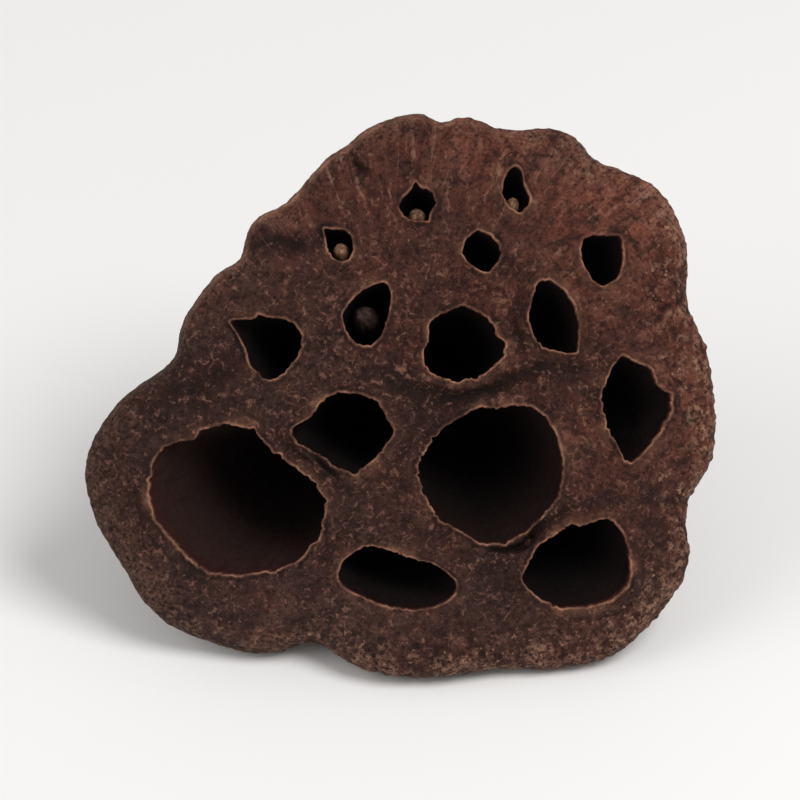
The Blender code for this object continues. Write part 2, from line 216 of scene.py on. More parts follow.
def rimRadius(angle):
    radius = around(podRim["radii"], angle)
    for place, depth, width in podRim["notches"]:
        radius = radius - depth * bump(offAngle(angle, place), width)
    return radius


def lobed(radius, angle):
    # a turned radius drawn out to the lobes of the rim, which fade out towards the axis
    share = (radius / podRim["meanRadius"]) ** 2
    return radius * (1.0 + share * (rimRadius(angle) / podRim["meanRadius"] - 1.0))


def turned(radius, angle):
    found = radius
    for _ in range(6):
        found = radius * found / np.maximum(lobed(found, angle), 1e-6)
    return found


def rimDroop(angle):
    return around(podRim["droop"], angle)


def sagOf(radius, angle):
    # how much lower the rim's droop brings a place that far from the axis
    return rimDroop(angle) * (radius / podRim["meanRadius"]) ** 2


def faceHeight(x, y):
    angle = np.arctan2(y, x)
    share = turned(np.hypot(x, y), angle) / podRim["meanRadius"]
    swell = 0.35 * np.sin(0.21 * x + 0.6) * np.cos(0.19 * y - 0.4)
    return swell * (1.0 - share**4) - podRim["faceDome"] * share**4 - rimDroop(angle) * share**6


def outlineTable(cell, rounding):
    # the mouth's radius in all directions, from its outline with its corners rounded
    centreX, centreY, _, outline = podCells[cell]
    corners = np.array(outline) - (centreX, centreY)
    turns = np.arange(tableSteps) * math.tau / tableSteps
    way = columns(np.cos(turns), np.sin(turns))
    radii = np.zeros(tableSteps)
    for start, end in zip(corners, np.roll(corners, -1, axis=0)):
        across = end - start
        turning = way[:, 0] * across[1] - way[:, 1] * across[0]
        turning = np.where(np.abs(turning) < 1e-9, 1e-9, turning)
        reach = (start[0] * across[1] - start[1] * across[0]) / turning
        share = (start[0] * way[:, 1] - start[1] * way[:, 0]) / turning
        met = (reach > 0.0) & (share >= -1e-6) & (share <= 1.0 + 1e-6)
        radii = np.where(met, np.maximum(radii, reach), radii)
    width = max(1.0, rounding / radii.mean() / math.tau * tableSteps)
    steps = np.arange(-int(3 * width), int(3 * width) + 1)
    weights = bump(steps, width)
    return sum(weight * np.roll(radii, step) for step, weight in zip(steps, weights)) / weights.sum()


mouthTables = {cell: outlineTable(cell, cornerRounding) for cell in podCells}
softTables = {cell: outlineTable(cell, depthRounding) for cell in podCells}


def tableRadius(table, angle):
    place = (angle / math.tau) % 1.0 * tableSteps
    first = np.floor(place).astype(int)
    share = place - first
    return table[first % tableSteps] * (1.0 - share) + table[(first + 1) % tableSteps] * share


def cellDistances(x, y):
    # distance outside the nearest mouth, and outside the second nearest
    gaps = []
    for cell, (centreX, centreY, _, _) in podCells.items():
        dx, dy = x - centreX, y - centreY
        gaps.append(np.hypot(dx, dy) - tableRadius(mouthTables[cell], np.arctan2(dy, dx)))
    return np.sort(gaps, axis=0)[:2]


def distanceToLine(x, y, line):
    # how far a point is from a line of joined points, and how far along the line, from 0 to 1
    best, along = np.full(len(x), 1e9), np.zeros(len(x))
    for n, ((ax, ay), (bx, by)) in enumerate(zip(line, line[1:])):
        share = ((x - ax) * (bx - ax) + (y - ay) * (by - ay)) / ((bx - ax) ** 2 + (by - ay) ** 2)
        share = np.clip(share, 0.0, 1.0)
        gap = np.hypot(x - ax - share * (bx - ax), y - ay - share * (by - ay))
        along = np.where(gap < best, (n + share) / (len(line) - 1), along)
        best = np.minimum(best, gap)
    return best, along


# Creases and raised folds of the face: points on the face, height (negative is a crease), half width.
faceFolds = {
    "notchFoldShade": (((-21.0, 19.6), (-17.5, 20.9), (-13.5, 19.9), (-10.6, 20.9)), -0.75, 1.3),
    "notchFoldCrest": (((-20.5, 22.2), (-16.5, 23.4), (-12.5, 22.4)), 0.35, 1.1),
    "topLeftCrack": (((-7.6, 33.6), (-6.6, 31.0), (-5.6, 29.6), (-3.8, 29.0)), -0.75, 0.5),
    "topLeftHook": (((-6.4, 32.8), (-5.6, 31.0), (-4.4, 30.0)), 0.4, 0.5),
    "topRidge": (((6.2, 35.0), (6.0, 32.0), (7.2, 29.5)), 0.35, 1.0),
    "topDent": (((4.8, 35.4), (4.2, 33.0)), -0.5, 1.0),
    "topFurrow": (((10.4, 35.4), (11.2, 32.4), (12.8, 30.3)), -0.45, 0.8),
    "rightRidge": (((37.6, 12.0), (33.8, 11.2), (30.6, 8.6), (27.8, 7.8)), 0.4, 0.55),
    "rightFurrow": (((38.0, 10.6), (34.2, 9.6), (31.4, 7.2)), -0.45, 0.7),
    "waistFurrow": (((-2.3, 3.4), (0.2, 2.0), (3.5, 1.1), (7.2, 0.7), (11.1, 1.9), (14.5, 3.6), (17.3, 4.7),
                     (21.0, 4.7)), -0.65, 0.9),
    "ringLeft": (((15.1, 6.9), (13.9, 10.0), (14.2, 13.4), (15.8, 16.2)), -0.45, 0.5),
    "ringRight": (((22.2, 13.6), (23.4, 10.0), (23.0, 7.2)), -0.45, 0.4),
    "ringRightCrest": (((22.0, 14.0), (24.1, 10.0), (23.8, 6.8)), 0.35, 0.45),
    "lowerCrack": (((17.6, -14.9), (16.3, -16.2), (15.2, -17.9), (13.6, -18.4), (10.6, -18.6)), -1.5, 0.42),
    "leftCrack": (((-12.6, -4.8), (-10.4, -7.6), (-8.4, -9.6)), -1.1, 0.42),
    "bottomFold": (((-14.0, -36.0), (-12.6, -31.5), (-9.6, -28.6)), -0.6, 1.6),
    "leftShoulder": (((-29.0, 1.5), (-24.0, 3.4), (-20.8, 6.2)), -0.55, 1.6),
}


def foldHeight(x, y):
    total = 0.0
    for line, height, width in faceFolds.values():
        gap, along = distanceToLine(x, y, line)
        total = total + height * bump(gap, width) * np.sin(math.pi * np.clip(along, 0.06, 0.94)) ** 0.5
    return total


def creviceHeight(x, y):
    # the furrows where two collars meet, and the folds
    near, second = cellDistances(x, y)
    return -0.6 * bump(second - near, 0.8) * bump(np.maximum(near, 0.0), 2.6) + foldHeight(x, y)


def faceNoise(x, y, size, layers, seed):
    return layeredNoise(columns(x, y, 0.0 * x), size, layers, seed)


def broadHeight(x, y):
    # the face with the soft collars round its cells, the furrows between them and its folds
    near, _ = cellDistances(x, y)
    collar = 0.42 * bump(np.maximum(near, 0.0), 1.5)
    return faceHeight(x, y) + collar + creviceHeight(x, y) + 0.35 * faceNoise(x, y, 9.0, 2, 5)


# Mesh helpers.

def readPoints(obj, kind="co"):
    points = np.empty(len(obj.data.vertices) * 3)
    obj.data.vertices.foreach_get(kind, points)
    return points.reshape(-1, 3)


def writePoints(obj, points):
    obj.data.vertices.foreach_set("co", np.asarray(points, float).ravel())
    obj.data.update()


def paint(obj, name, values):
    # a number for each vertex, which the materials read
    layer = obj.data.attributes.new(name, "FLOAT", "POINT")
    layer.data.foreach_set("value", np.asarray(values, np.float32).ravel())


def paintFlow(obj, points, spokeRadius=20.0, stretch=0.22):
    # places for noise that runs out from the axis in long streaks, with no seam
    radius, angle, height = polar(points)
    flow = ringPoints(angle, spokeRadius, stretch * radius + 0.3 * height)
    layer = obj.data.attributes.new("flow", "FLOAT_VECTOR", "POINT")
    layer.data.foreach_set("vector", flow.astype(np.float32).ravel())


def pick(obj):
    bpy.ops.object.select_all(action="DESELECT")
    obj.select_set(True)
    bpy.context.view_layer.objects.active = obj


def applyModifier(obj, kind, **settings):
    pick(obj)
    modifier = obj.modifiers.new(kind.lower(), kind)
    for key, value in settings.items():
        setattr(modifier, key, value)
    bpy.ops.object.modifier_apply(modifier=modifier.name)


def named(name):
    obj = bpy.context.active_object
    obj.name = name
    obj.data.name = name
    return obj


def layDown(obj):
    # from the pod's own axes in millimetres to its place in the model, in metres, and never through the floor
    cosine, sine = math.cos(podPlace["faceLift"]), math.sin(podPlace["faceLift"])
    x, y, z = readPoints(obj).T
    placed = columns(x, y * sine - z * cosine, y * cosine + z * sine) + podPlace["faceCentre"]
    placed[:, 2] = np.maximum(placed[:, 2], podPlace["floorSkim"])
    writePoints(obj, placed * 0.001)


def finishPiece(obj, node, material):
    obj.data.materials.clear()
    obj.data.materials.append(material)
    pick(obj)
    bpy.ops.object.shade_smooth()
    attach(obj, "root")
    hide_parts(node)
    print("made", obj.name, len(obj.data.polygons), "faces")
    return obj


def settle(obj, skin):
    layDown(obj)
    return finishPiece(obj, "pod", skin)


def addObject(name, data):
    obj = bpy.data.objects.new(name, data)
    scene.collection.objects.link(obj)
    return obj


def spinProfile(name, outline, steps):
    # an outline of radius and height in the xz plane, spun all round z and closed
    mesh = bpy.data.meshes.new(name)
    mesh.from_pydata([(radius, 0.0, height) for radius, height in outline],
                     [(n, n + 1) for n in range(len(outline) - 1)], [])
    obj = addObject(name, mesh)
    pick(obj)
    bpy.ops.object.mode_set(mode="EDIT")
    bpy.ops.mesh.select_all(action="SELECT")
    bpy.ops.mesh.spin(steps=steps, angle=math.tau, center=(0.0, 0.0, 0.0), axis=(0.0, 0.0, 1.0))
    bpy.ops.mesh.select_all(action="SELECT")
    bpy.ops.mesh.remove_doubles(threshold=0.001)
    bpy.ops.mesh.normals_make_consistent(inside=False)
    bpy.ops.object.mode_set(mode="OBJECT")
    return obj


# Materials.

def feed(socket, value):
    # another node's output, or a plain value
    if isinstance(value, bpy.types.NodeSocket):
        socket.id_data.links.new(value, socket)
    else:
        socket.default_value = value


def nodeTools(name):
    material = bpy.data.materials.new(name)
    material.use_nodes = True
    nodes = material.node_tree.nodes

    def add(kind, inputs=None, **settings):
        node = nodes.new(kind)
        for key, value in settings.items():
            setattr(node, key, value)
        for key, value in (inputs or {}).items():
            feed(node.inputs[key], value)
        return node

    return material, add


def attributeOf(add, name, output="Fac"):
    return add("ShaderNodeAttribute", attribute_name=name).outputs[output]


def noiseOf(add, where, scale, detail=4.0, roughness=0.6, distortion=0.0):
    node = add("ShaderNodeTexNoise", {"Vector": where, "Scale": scale, "Detail": detail,
                                      "Roughness": roughness, "Distortion": distortion})
    return node.outputs["Fac"]


def spread(add, value, low, high, newLow=0.0, newHigh=1.0):
    node = add("ShaderNodeMapRange", {"Value": value, "From Min": low, "From Max": high,
                                      "To Min": newLow, "To Max": newHigh})
    return node.outputs["Result"]


def blendColour(add, factor, first, second, mode="MIX"):
    node = add("ShaderNodeMix", data_type="RGBA", blend_type=mode)
    for index, value in ((0, factor), (6, first), (7, second)):  # the sockets that a colour mix uses
        feed(node.inputs[index], value)
    return node.outputs[2]


def overlay(add, colour, colours, *layers):
    # for each layer: how much of it shows, and which of the colours it is
    for share, shade in layers:
        colour = blendColour(add, share, colour, colours[shade])
    return colour


def product(add, first, second):
    return add("ShaderNodeMath", {0: first, 1: second}, operation="MULTIPLY").outputs[0]


def bumpOf(add, strength, distance, height, normal=None):
    # relief that shows in the light alone, on top of the bump whose normal is given
    node = add("ShaderNodeBump", {"Strength": strength, "Distance": distance, "Height": height})
    if normal is not None:
        feed(node.inputs["Normal"], normal)
    return node.outputs["Normal"]


def finishSkin(material, colour, roughness, gloss=None, normal=None):
    shader = material.node_tree.nodes["Principled BSDF"]
    values = {"Base Color": colour, "Roughness": roughness, "Specular IOR Level": gloss, "Normal": normal}
    for name, value in values.items():
        if value is not None:
            feed(shader.inputs[name], value)
    return material


podSkinColours = {
    "dark": (0.018, 0.0066, 0.0048, 1.0),
    "grey": (0.048, 0.0215, 0.0165, 1.0),
    "red": (0.08, 0.0235, 0.0145, 1.0),
    # the skin's dark grain, and painted shade in its hollows
    "pit": (0.008, 0.0033, 0.0026, 1.0),
    "fibre": (0.21, 0.096, 0.066, 1.0),
    # pale crumbs of the skin, and painted highlight on the tops of its grains
    "crumbAndHighlight": (0.33, 0.178, 0.118, 1.0),
    "lip": (0.42, 0.198, 0.122, 1.0),
    "inside": (0.034, 0.013, 0.011, 1.0),
    "throat": (0.05, 0.0085, 0.007, 1.0),  # painted shadow just under the lip
    # painted shade deep in the cells, also the dark streaks of their walls
    "bottom": (0.012, 0.006, 0.005, 1.0),
}


def makePodSkin():
    colours = podSkinColours
    material, add = nodeTools("podSkin")
    where = add("ShaderNodeTexCoord").outputs["Object"]
    flow = attributeOf(add, "flow", "Vector")
    relief, warmthAndLight, rim, lip, depth, tone, radial = (
        attributeOf(add, name) for name in ("relief", "warmthAndLight", "rim", "lip", "depth", "tone", "radial"))

    blotches = noiseOf(add, where, 130.0, 5.0, 0.6)
    patches = noiseOf(add, where, 420.0, 3.0, 0.6)
    mottle = noiseOf(add, where, 480.0, 5.0, 0.7, 0.5)
    tangled = noiseOf(add, where, 900.0, 5.0, 0.72, 1.2)
    dots = noiseOf(add, where, 1200.0, 2.0, 0.5)
    grain = noiseOf(add, where, 1900.0, 4.0, 0.75)
    fine = noiseOf(add, where, 3000.0, 3.0, 0.7)
    spoked = noiseOf(add, flow, 1.2, 5.0, 0.72, 0.8)
    streaks = add("ShaderNodeMix", {"Factor": radial, "A": tangled, "B": spoked}).outputs["Result"]

    blotch = spread(add, blotches, 0.3, 0.7, -0.4, 0.4)
    # redness, with its slope of painted light toward the upper right, and random blotches
    warmerAndLit = add("ShaderNodeMath", {0: warmthAndLight, 1: blotch}, operation="ADD").outputs[0]
    pale = product(add, spread(add, streaks, 0.54, 0.64), spread(add, radial, 0.0, 0.5, 0.74, 1.0))
    # painted highlight: the tops of raised grains paler, most near the rim
    crests = product(add, spread(add, relief, 0.1, 0.8, 0.0, 0.9), spread(add, grain, 0.42, 0.6))
    crests = product(add, crests, spread(add, rim, 0.0, 1.0, 0.15, 0.85))
    specks = product(add, spread(add, dots, 0.66, 0.71, 0.0, 0.9), spread(add, rim, 0.0, 1.0, 0.22, 0.9))
    lips = product(add, lip, spread(add, grain, 0.34, 0.58, 0.45, 1.0))
    lips = product(add, lips, spread(add, patches, 0.38, 0.6, 0.22, 0.95))

    skin = blendColour(add, warmerAndLit, colours["grey"], colours["red"])
    # the face's painted light and shade, from its patches and bands, multiply the skin
    skin = blendColour(add, 1.0, skin, tone, "MULTIPLY")
    skin = overlay(
        add, skin, colours,
        (spread(add, mottle, 0.54, 0.38, 0.0, 0.85), "dark"),
        (spread(add, streaks, 0.5, 0.36, 0.0, 0.82), "dark"),
        (pale, "fibre"),
        (spread(add, grain, 0.48, 0.34, 0.0, 0.75), "pit"),
        # painted shade in the pits, the furrows between collars, the folds' creases and outside the lips
        (spread(add, relief, -0.05, -0.7, 0.0, 0.9), "pit"),
        # painted highlight on the grains' tops; the specks are pale crumbs of the skin
        (crests, "crumbAndHighlight"),
        (specks, "crumbAndHighlight"),
        (lips, "lip"),
    )
    inside = overlay(
        add, colours["inside"], colours,
        # painted shade: darker deeper in the cell
        (spread(add, depth, 0.25, 0.9), "bottom"),
        (spread(add, streaks, 0.52, 0.36, 0.0, 0.6), "bottom"),
    )
    # the walls inside are darkened by cellBrightness, painted shade
    inside = blendColour(add, 1.0, inside, tone, "MULTIPLY")
    # painted shadow just under the lip
    inside = overlay(add, inside, colours, (spread(add, depth, 0.16, 0.03, 0.0, 0.7), "throat"))
    colour = blendColour(add, spread(add, depth, 0.01, 0.06), skin, inside)

    normal = bumpOf(add, 0.7, 0.00022, fine)
    normal = bumpOf(add, 0.7, 0.00045, streaks, normal)
    normal = bumpOf(add, 0.7, 0.0006, mottle, normal)
    return finishSkin(material, colour, spread(add, grain, 0.3, 0.7, 0.85, 0.62), 0.14, normal)


funnelColours = {
    # valley: the dark of streaks, fibres and specks, and painted shade in the folds' hollows
    "valley": (0.014, 0.0058, 0.0046, 1.0),
    "side": (0.13, 0.051, 0.038, 1.0),
    "greySide": (0.1, 0.052, 0.043, 1.0),
    # painted highlight on the crests of the folds and at the torn edge
    "crest": (0.27, 0.136, 0.102, 1.0),
    "fibre": (0.4, 0.24, 0.17, 1.0),
}


def makeFunnelSkin():
    colours = funnelColours
    material, add = nodeTools("funnelSkin")
    where = add("ShaderNodeTexCoord").outputs["Object"]
    lengthwise = add("ShaderNodeUVMap", uv_map="grain").outputs["UV"]
    relief = attributeOf(add, "relief")
    broad, slender = (
        add("ShaderNodeMapping", {"Vector": lengthwise, "Scale": scale}).outputs["Vector"]
        for scale in ((260.0, 5.0, 1.0), (900.0, 16.0, 1.0)))
    streak = noiseOf(add, broad, 1.0, 4.0, 0.6, 0.3)
    fibre = noiseOf(add, slender, 1.0, 3.0, 0.65)
    blotches = noiseOf(add, where, 90.0, 4.0, 0.6)
    specks = noiseOf(add, where, 1500.0, 3.0, 0.6)
    colour = overlay(
        add, colours["side"], colours,
        (spread(add, blotches, 0.35, 0.65), "greySide"),
        # painted highlight on the folds' crests and the torn edge
        (spread(add, relief, 0.1, 0.9, 0.0, 0.75), "crest"),
        (spread(add, streak, 0.46, 0.28, 0.0, 0.5), "valley"),
        # painted shade in the folds' hollows
        (spread(add, relief, -0.1, -0.8, 0.0, 0.95), "valley"),
        (spread(add, fibre, 0.55, 0.68, 0.0, 0.55), "fibre"),
        (spread(add, fibre, 0.46, 0.34, 0.0, 0.75), "valley"),
        (spread(add, specks, 0.44, 0.32, 0.0, 0.6), "valley"),
    )
    normal = bumpOf(add, 0.7, 0.0005, streak, bumpOf(add, 0.8, 0.0003, fibre))
    return finishSkin(material, colour, spread(add, streak, 0.3, 0.7, 0.82, 0.62), 0.15, normal)


stubColours = {
    "dark": (0.085, 0.044, 0.03, 1.0),
    "tan": (0.34, 0.19, 0.12, 1.0),
    # painted highlight on the stub's raised rings
    "pale": (0.52, 0.34, 0.22, 1.0),
}


def makeStubSkin():
    colours = stubColours
    material, add = nodeTools("stubSkin")
    where = add("ShaderNodeTexCoord").outputs["Object"]
    relief = attributeOf(add, "relief")
    grain = noiseOf(add, where, 2600.0, 3.0, 0.7)
    colour = overlay(
        add, colours["dark"], colours,
        (spread(add, noiseOf(add, where, 700.0, 5.0, 0.7), 0.36, 0.58), "tan"),
        # painted highlight on the raised rings and collar
        (spread(add, relief, 0.1, 0.9, 0.0, 0.7), "pale"),
        # painted shade in the grooves between the rings
        (spread(add, relief, -0.1, -0.8, 0.0, 0.85), "dark"),
        (spread(add, grain, 0.46, 0.3, 0.0, 0.7), "dark"),
    )
    return finishSkin(material, colour, 0.78, 0.15, bumpOf(add, 0.5, 0.0002, grain))


seedColours = {
    "skin": (0.36, 0.2, 0.118, 1.0),
    "shade": (0.15, 0.076, 0.044, 1.0),
    # dimple: painted shade in the wrinkles' grooves and the dimple
    "dimple": (0.045, 0.022, 0.014, 1.0),
}
dullSeedColours = {
    "skin": (0.062, 0.036, 0.032, 1.0),
    "shade": (0.02, 0.011, 0.01, 1.0),
    # dimple: painted shade in the wrinkles' grooves and the dimple
    "dimple": (0.008, 0.005, 0.004, 1.0),
}


def makeSeedSkin(name, colours):
    material, add = nodeTools(name)
    where = add("ShaderNodeTexCoord").outputs["Object"]
    mottle = noiseOf(add, where, 1500.0, 4.0, 0.65)
    colour = overlay(
        add, colours["shade"], colours,
        (spread(add, mottle, 0.35, 0.65), "skin"),
        # painted shade in the wrinkles' grooves and the dimple
        (spread(add, attributeOf(add, "relief"), -0.1, -0.8, 0.0, 1.0), "dimple"),
    )
    return finishSkin(material, colour, 0.65, 0.15, bumpOf(add, 0.5, 0.0001, mottle))


# The face of the pod: a thick lobed plate with rounded shoulders and a hole for each cell.
facePlate = {
    "rings": ((0.0, 0.0), (9.6, -0.01), (18.5, -0.1), (25.9, -0.35), (31.0, -0.75), (34.3, -1.6),
              (35.4, -2.2), (36.3, -3.1), (36.85, -4.2), (37.0, -5.3), (36.7, -6.5), (35.9, -7.2),
              (34.4, -7.0), (33.0, -5.6), (16.0, -5.0), (0.0, -5.0)),
    "steps": 200,
    "holeSpread": 0.85,  # the holes are this much wider than the mouths, under the lips
    "holeSides": 72,
    "voxel": 0.33,
    "grainHeight": 0.26,
    "pitDepth": 0.16,
    "fineHeight": 0.1,
    "rimWrinkle": 0.16,
}


def shareOfRim(x, y):
    return np.hypot(x, y) / rimRadius(np.arctan2(y, x))


def radialOf(x, y):
    # how far the fibres run out from the middle: most near the upper rim, not at all in the middle
    return (0.25 + 0.45 * smoothStep(5.0, 28.0, y)) * smoothStep(12.0, 29.0, np.hypot(x, y))


def warmthAndLightOf(x, y):
    # how red the skin is: greyer and darker to the lower left, redder and lighter at the top and right; the
    # slope is partly the skin's own colour and partly painted light from the upper right
    return np.clip(0.5 + 0.011 * x + 0.01 * y + 0.3 * faceNoise(x, y, 14.0, 3, 61), 0.0, 1.0)


def haloOf(x, y, offset):
    # a faint paler band round the mouths, broken into patches
    return 0.42 * bump(np.maximum(offset, 0.0), 1.0) * smoothStep(-0.25, 0.45, faceNoise(x, y, 4.0, 2, 131))


# Lighter and darker places of the face: middle, half width, how much lighter (or darker, below 0). Those at
# the top and the right are painted light and those at the left painted shade; the rest are the skin's own
# uneven tone.
facePatches = (
    (27.0, 23.0, 11.0, 0.9), (36.0, 2.0, 8.0, 0.65), (9.0, 34.0, 6.0, 0.6), (16.0, 31.5, 4.5, 0.35),
    (-3.0, 29.0, 9.0, 0.1), (-17.0, 21.5, 5.0, 0.25), (31.5, 3.0, 3.5, 0.35), (37.0, -9.0, 6.0, 0.25),
    (-27.0, 1.0, 9.0, -0.45), (1.5, -2.5, 8.0, -0.4), (-38.0, -10.0, 9.0, -0.25), (20.0, 4.0, 6.0, -0.3),
    (23.0, -6.0, 3.5, 0.45), (-12.0, -31.0, 11.0, 0.4), (12.0, -20.0, 6.0, -0.2), (0.5, -33.0, 5.0, 0.2),
)


# Painted shade in dark bands along furrows and painted highlights in pale ones along crests: points on the
# face, half width, how much lighter.
shadeAndHighlightBands = (
    (faceFolds["waistFurrow"][0], 1.3, -0.55),
    (((15.1, 6.9), (14.0, 10.0), (14.3, 13.4), (15.8, 16.0)), 0.9, -0.45),
    (((-20.6, 20.2), (-15.6, 20.8), (-11.4, 20.9)), 1.2, -0.5),
    (((-11.4, -8.0), (-7.4, -11.0), (-6.6, -17.0)), 1.6, -0.3),
    (((10.4, -19.2), (12.6, -21.4), (12.8, -26.0)), 1.8, -0.3),
    (((18.6, -14.0), (21.6, -12.6), (26.0, -12.4)), 1.3, -0.4),
    (((27.0, -10.0), (31.0, -13.0), (31.6, -18.0)), 2.0, -0.3),
    (((-13.0, -24.5), (-9.6, -20.0), (-9.0, -16.0)), 1.4, -0.25),
    (((29.6, 8.4), (31.6, 9.2), (33.4, 10.6), (36.4, 11.2)), 0.45, 0.9),
    (((12.6, 4.6), (14.0, 5.8)), 1.0, 0.45),
    (((20.3, -3.0), (21.6, -7.4), (22.4, -9.6)), 1.2, 0.45),
    (((7.2, 36.0), (6.2, 33.4), (7.2, 30.0)), 1.1, 0.5),
    (((-14.6, 22.0), (-12.2, 21.6)), 0.9, 0.5),
)


plainTone = 0.88  # where there is no patch or band


def toneOf(x, y):
    # a factor on the skin's colour: the patches' painted light and uneven tone, and the bands' painted shade
    # and highlights
    tone = plainTone + 0.0 * x
    for middleX, middleY, width, lighter in facePatches:
        tone = tone + lighter * bump(np.hypot(x - middleX, y - middleY), width)
    for line, width, lighter in shadeAndHighlightBands:
        tone = tone + lighter * bump(distanceToLine(x, y, line)[0], width)
    return np.clip(tone, 0.3, 2.2)


def spongeOf(x, y):
    # where the skin is coarse and spongy: the rim, most of all at the right and the bottom
    side = 0.12 + 0.88 * smoothStep(-0.5, 0.7, np.cos(np.arctan2(y, x) + math.radians(40.0)))
    edge = smoothStep(0.76, 0.97, shareOfRim(x, y) + 0.07 * faceNoise(x, y, 7.0, 2, 71))
    return np.clip(edge * side, 0.0, 1.0)


def paintSkin(obj, points, **layers):
    # all that the pod's skin reads, for places on the smooth shape
    x, y, _ = points.T
    for name, values in layers.items():
        paint(obj, name, values)
    paint(obj, "radial", radialOf(x, y))
    paint(obj, "warmthAndLight", warmthAndLightOf(x, y))
    paintFlow(obj, points)


def thinHiddenSide(plate):
    # fewer faces on the plate's underside and in the rims of its holes, which nothing shows
    x, y, z = readPoints(plate).T
    hidden = (z < -1.9) & (shareOfRim(x, y) < 0.93)
    group = plate.vertex_groups.new(name="hidden")
    group.add(np.nonzero(hidden)[0].tolist(), 1.0, "REPLACE")
    applyModifier(plate, "DECIMATE", ratio=1.0 - 0.85 * hidden.mean(), vertex_group="hidden",
                  vertex_group_factor=10.0)


def makeFacePlate(skin):
    plate = spinProfile("facePlate", facePlate["rings"], facePlate["steps"])
    radius, angle, height = polar(readPoints(plate))
    wide = lobed(radius, angle)
    x, y = wide * np.cos(angle), wide * np.sin(angle)
    onFace = height > -0.8
    writePoints(plate, columns(x, y, np.where(onFace, faceHeight(x, y), height - sagOf(radius, angle))))

    for cell, (centreX, centreY, _, _) in podCells.items():
        bpy.ops.mesh.primitive_cylinder_add(vertices=facePlate["holeSides"], radius=1.0, depth=20.0)
        cutter = named("holeCutter")
        _, turn, level = polar(readPoints(cutter))
        reach = tableRadius(mouthTables[cell], turn) + facePlate["holeSpread"]
        rimX, rimY = centreX + reach * np.cos(turn), centreY + reach * np.sin(turn)
        lean = 1.0 + (level - faceHeight(rimX, rimY)) / cellApex
        writePoints(cutter, columns(rimX * lean, rimY * lean, level))
        applyModifier(plate, "BOOLEAN", operation="DIFFERENCE", solver="EXACT", object=cutter)
        bpy.data.objects.remove(cutter)
    applyModifier(plate, "REMESH", mode="VOXEL", voxel_size=facePlate["voxel"])
    thinHiddenSide(plate)

    points, normals = readPoints(plate), readPoints(plate, "normal")
    x, y, z = points.T
    near, _ = cellDistances(x, y)
    upper = smoothStep(0.15, 0.6, normals[:, 2])  # the face itself, not its edge
    outer = smoothStep(-0.75, -0.2, normals[:, 2]) * smoothStep(-0.2, 0.5, near)  # face and shoulder
    points[:, 2] += upper * (broadHeight(x, y) - faceHeight(x, y)) * smoothStep(-1.0, -0.2, near)

    sponge = spongeOf(x, y)
    gap, token = grainNoise(points, 0.95, 31)
    grains = (1.0 - np.clip(gap * 1.5, 0.0, 1.0) ** 2) * (0.55 + 0.45 * token)
    pitGap, pitToken = grainNoise(points + 5.0, 1.6, 47)
    pits = bump(pitGap, 0.26) * (pitToken > 0.1)
    fibre = 1.0 - 2.0 * np.abs(layeredNoise(points, 1.7, 4, 11))
    fine = layeredNoise(points, 0.9, 3, 23)
    angle = np.arctan2(y, x)
    wrinkle = 1.0 - 2.0 * np.abs(layeredNoise(ringPoints(angle, 14.0, z * 0.12 + 3.0), 1.0, 3, 83))
    edge = smoothStep(0.86, 1.0, shareOfRim(x, y))
    relief = (
        facePlate["grainHeight"] * sponge * (grains - 0.4)
        - facePlate["pitDepth"] * (0.25 + sponge) * pits
        + facePlate["fineHeight"] * (0.9 * fibre + 0.8 * fine)
        + facePlate["rimWrinkle"] * edge * wrinkle
    )
    writePoints(plate, points + normals * (relief * outer)[:, None])
    edgeLine = bump(shareOfRim(x, y) - 0.988, 0.013) * smoothStep(-8.0, -5.0, z)
    edgeLine = edgeLine * bump(offAngle(angle, 115.0), 38.0)  # along the upper left
    # relief paints the pits, crevices and creases darker and the grains' tops paler: painted shade and
    # highlight
    paintSkin(
        plate, points,
        relief=np.clip(relief / 0.22 + 1.1 * creviceHeight(x, y), -1.0, 1.0),
        tone=toneOf(x, y), rim=sponge, depth=0.0 * x,
        lip=np.clip(0.8 * edgeLine + haloOf(x, y, near), 0.0, 1.0),
    )
    return settle(plate, skin)


# Each seed cell: a thin cup whose frayed lip stands a little above the face.
cellCup = {
    "sideLength": 0.2,
    "innerRings": 28,
    "crestRings": 16,
    "outerRings": 16,
    "wall": 0.14,  # thickness of the hidden wall
    "lipHeight": 0.32,
    "lipWidth": 0.15,
    "lipInside": 0.06,  # how far the lip reaches into the mouth
    "foot": 1.9,  # how far out the lip's collar reaches
    "belly": 0.5,  # how much the cell widens under its lip
    "fray": 0.13,
    "tooth": 0.12,
    "chip": 0.3,
    "striation": 0.12,
}


def cupOutline():
    # for each ring: which wall it is on and how far along, from the inner bottom to the outer bottom
    fall = np.linspace(1.0, 0.0, cellCup["innerRings"])
    inner = [("inner", share) for share in np.sin(0.5 * math.pi * fall) * fall**0.7]
    crest = [("crest", share) for share in np.linspace(0.0, 1.0, cellCup["crestRings"])]
    rise = np.linspace(0.08, 1.0, cellCup["outerRings"])
    outer = [("outer", share) for share in np.sin(0.5 * math.pi * rise)]
    return [*inner, *crest, *outer]


